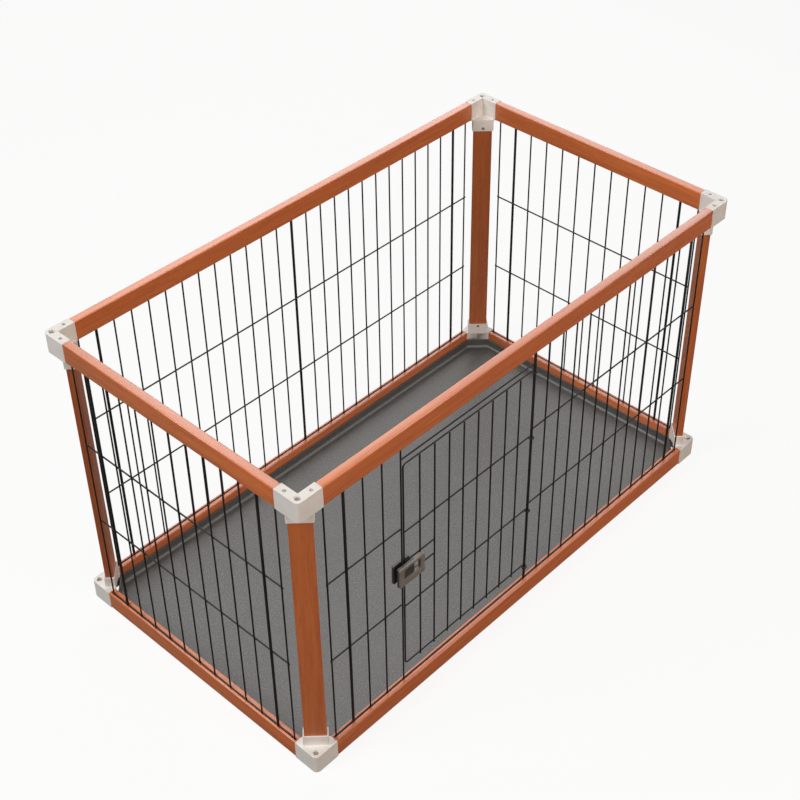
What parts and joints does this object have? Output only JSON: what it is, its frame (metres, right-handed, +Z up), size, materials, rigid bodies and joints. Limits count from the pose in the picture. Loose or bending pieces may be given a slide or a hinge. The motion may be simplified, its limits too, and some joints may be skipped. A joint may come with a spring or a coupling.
{
  "type": "indoor dog pen",
  "caption": "Open-topped indoor dog pen with stained wooden rails and posts, white moulded corners, black wire panels, a wire door with a sliding latch and a grey floor tray.",
  "frame": {"origin": "middle of the floor under the pen", "axes": "+X along the long sides, the door side faces -Y, +Z up"},
  "size_m": [1.092, 0.6, 0.622],
  "materials": {
    "stained_wood": "satin stain, brown red",
    "white_plastic": "satin",
    "black_wire": "semi-gloss black coating",
    "grey_tray_plastic": "matt, finely speckled",
    "dark_latch_plastic": "satin",
    "taupe_grip_plastic": "satin",
    "screw_steel": "plain"
  },
  "bodies": {
    "frame": {"top_rail_front": "stained_wood", "top_rail_right": "stained_wood", "top_rail_back": "stained_wood", "top_rail_left": "stained_wood", "bottom_rail_front": "stained_wood", "bottom_rail_right": "stained_wood", "bottom_rail_back": "stained_wood", "bottom_rail_left": "stained_wood", "post_front_left": "stained_wood", "post_front_right": "stained_wood", "post_back_right": "stained_wood", "post_back_left": "stained_wood", "top_corner_front_left": "white_plastic", "top_corner_front_right": "white_plastic", "top_corner_back_right": "white_plastic", "top_corner_back_left": "white_plastic", "bottom_corner_front_left": "white_plastic", "bottom_corner_front_right": "white_plastic", "bottom_corner_back_right": "white_plastic", "bottom_corner_back_left": "white_plastic", "wire_panel_back": "black_wire", "wire_panel_left": "black_wire", "wire_panel_right": "black_wire", "wire_panel_front_left": "black_wire", "wire_panel_front_right": "black_wire", "door_lintel_wire": "black_wire", "top_rail_screws": "screw_steel", "bottom_rail_screws": "screw_steel", "post_screws": "screw_steel"},
    "door": {"door_panel": "black_wire"},
    "latch": {"latch_bolt": "dark_latch_plastic", "latch_plate": "dark_latch_plastic", "latch_grip": "taupe_grip_plastic", "latch_screws": "screw_steel"},
    "tray": {"floor_tray": "grey_tray_plastic"}
  },
  "joints": [
    {"name": "door_swing", "type": "hinge", "parent": "frame", "child": "door", "pos_m": [0.004, -0.2892, 0.3], "axis": [0, 0, 1], "range_deg": [0, 165]},
    {"name": "latch_slide", "type": "slide", "parent": "door", "child": "latch", "axis": [1, 0, 0], "range_m": [0, 0.017]},
    {"name": "tray_lift", "type": "slide", "parent": "frame", "child": "tray", "axis": [0, 0, 1], "range_m": [0, 0.15]}
  ]
}
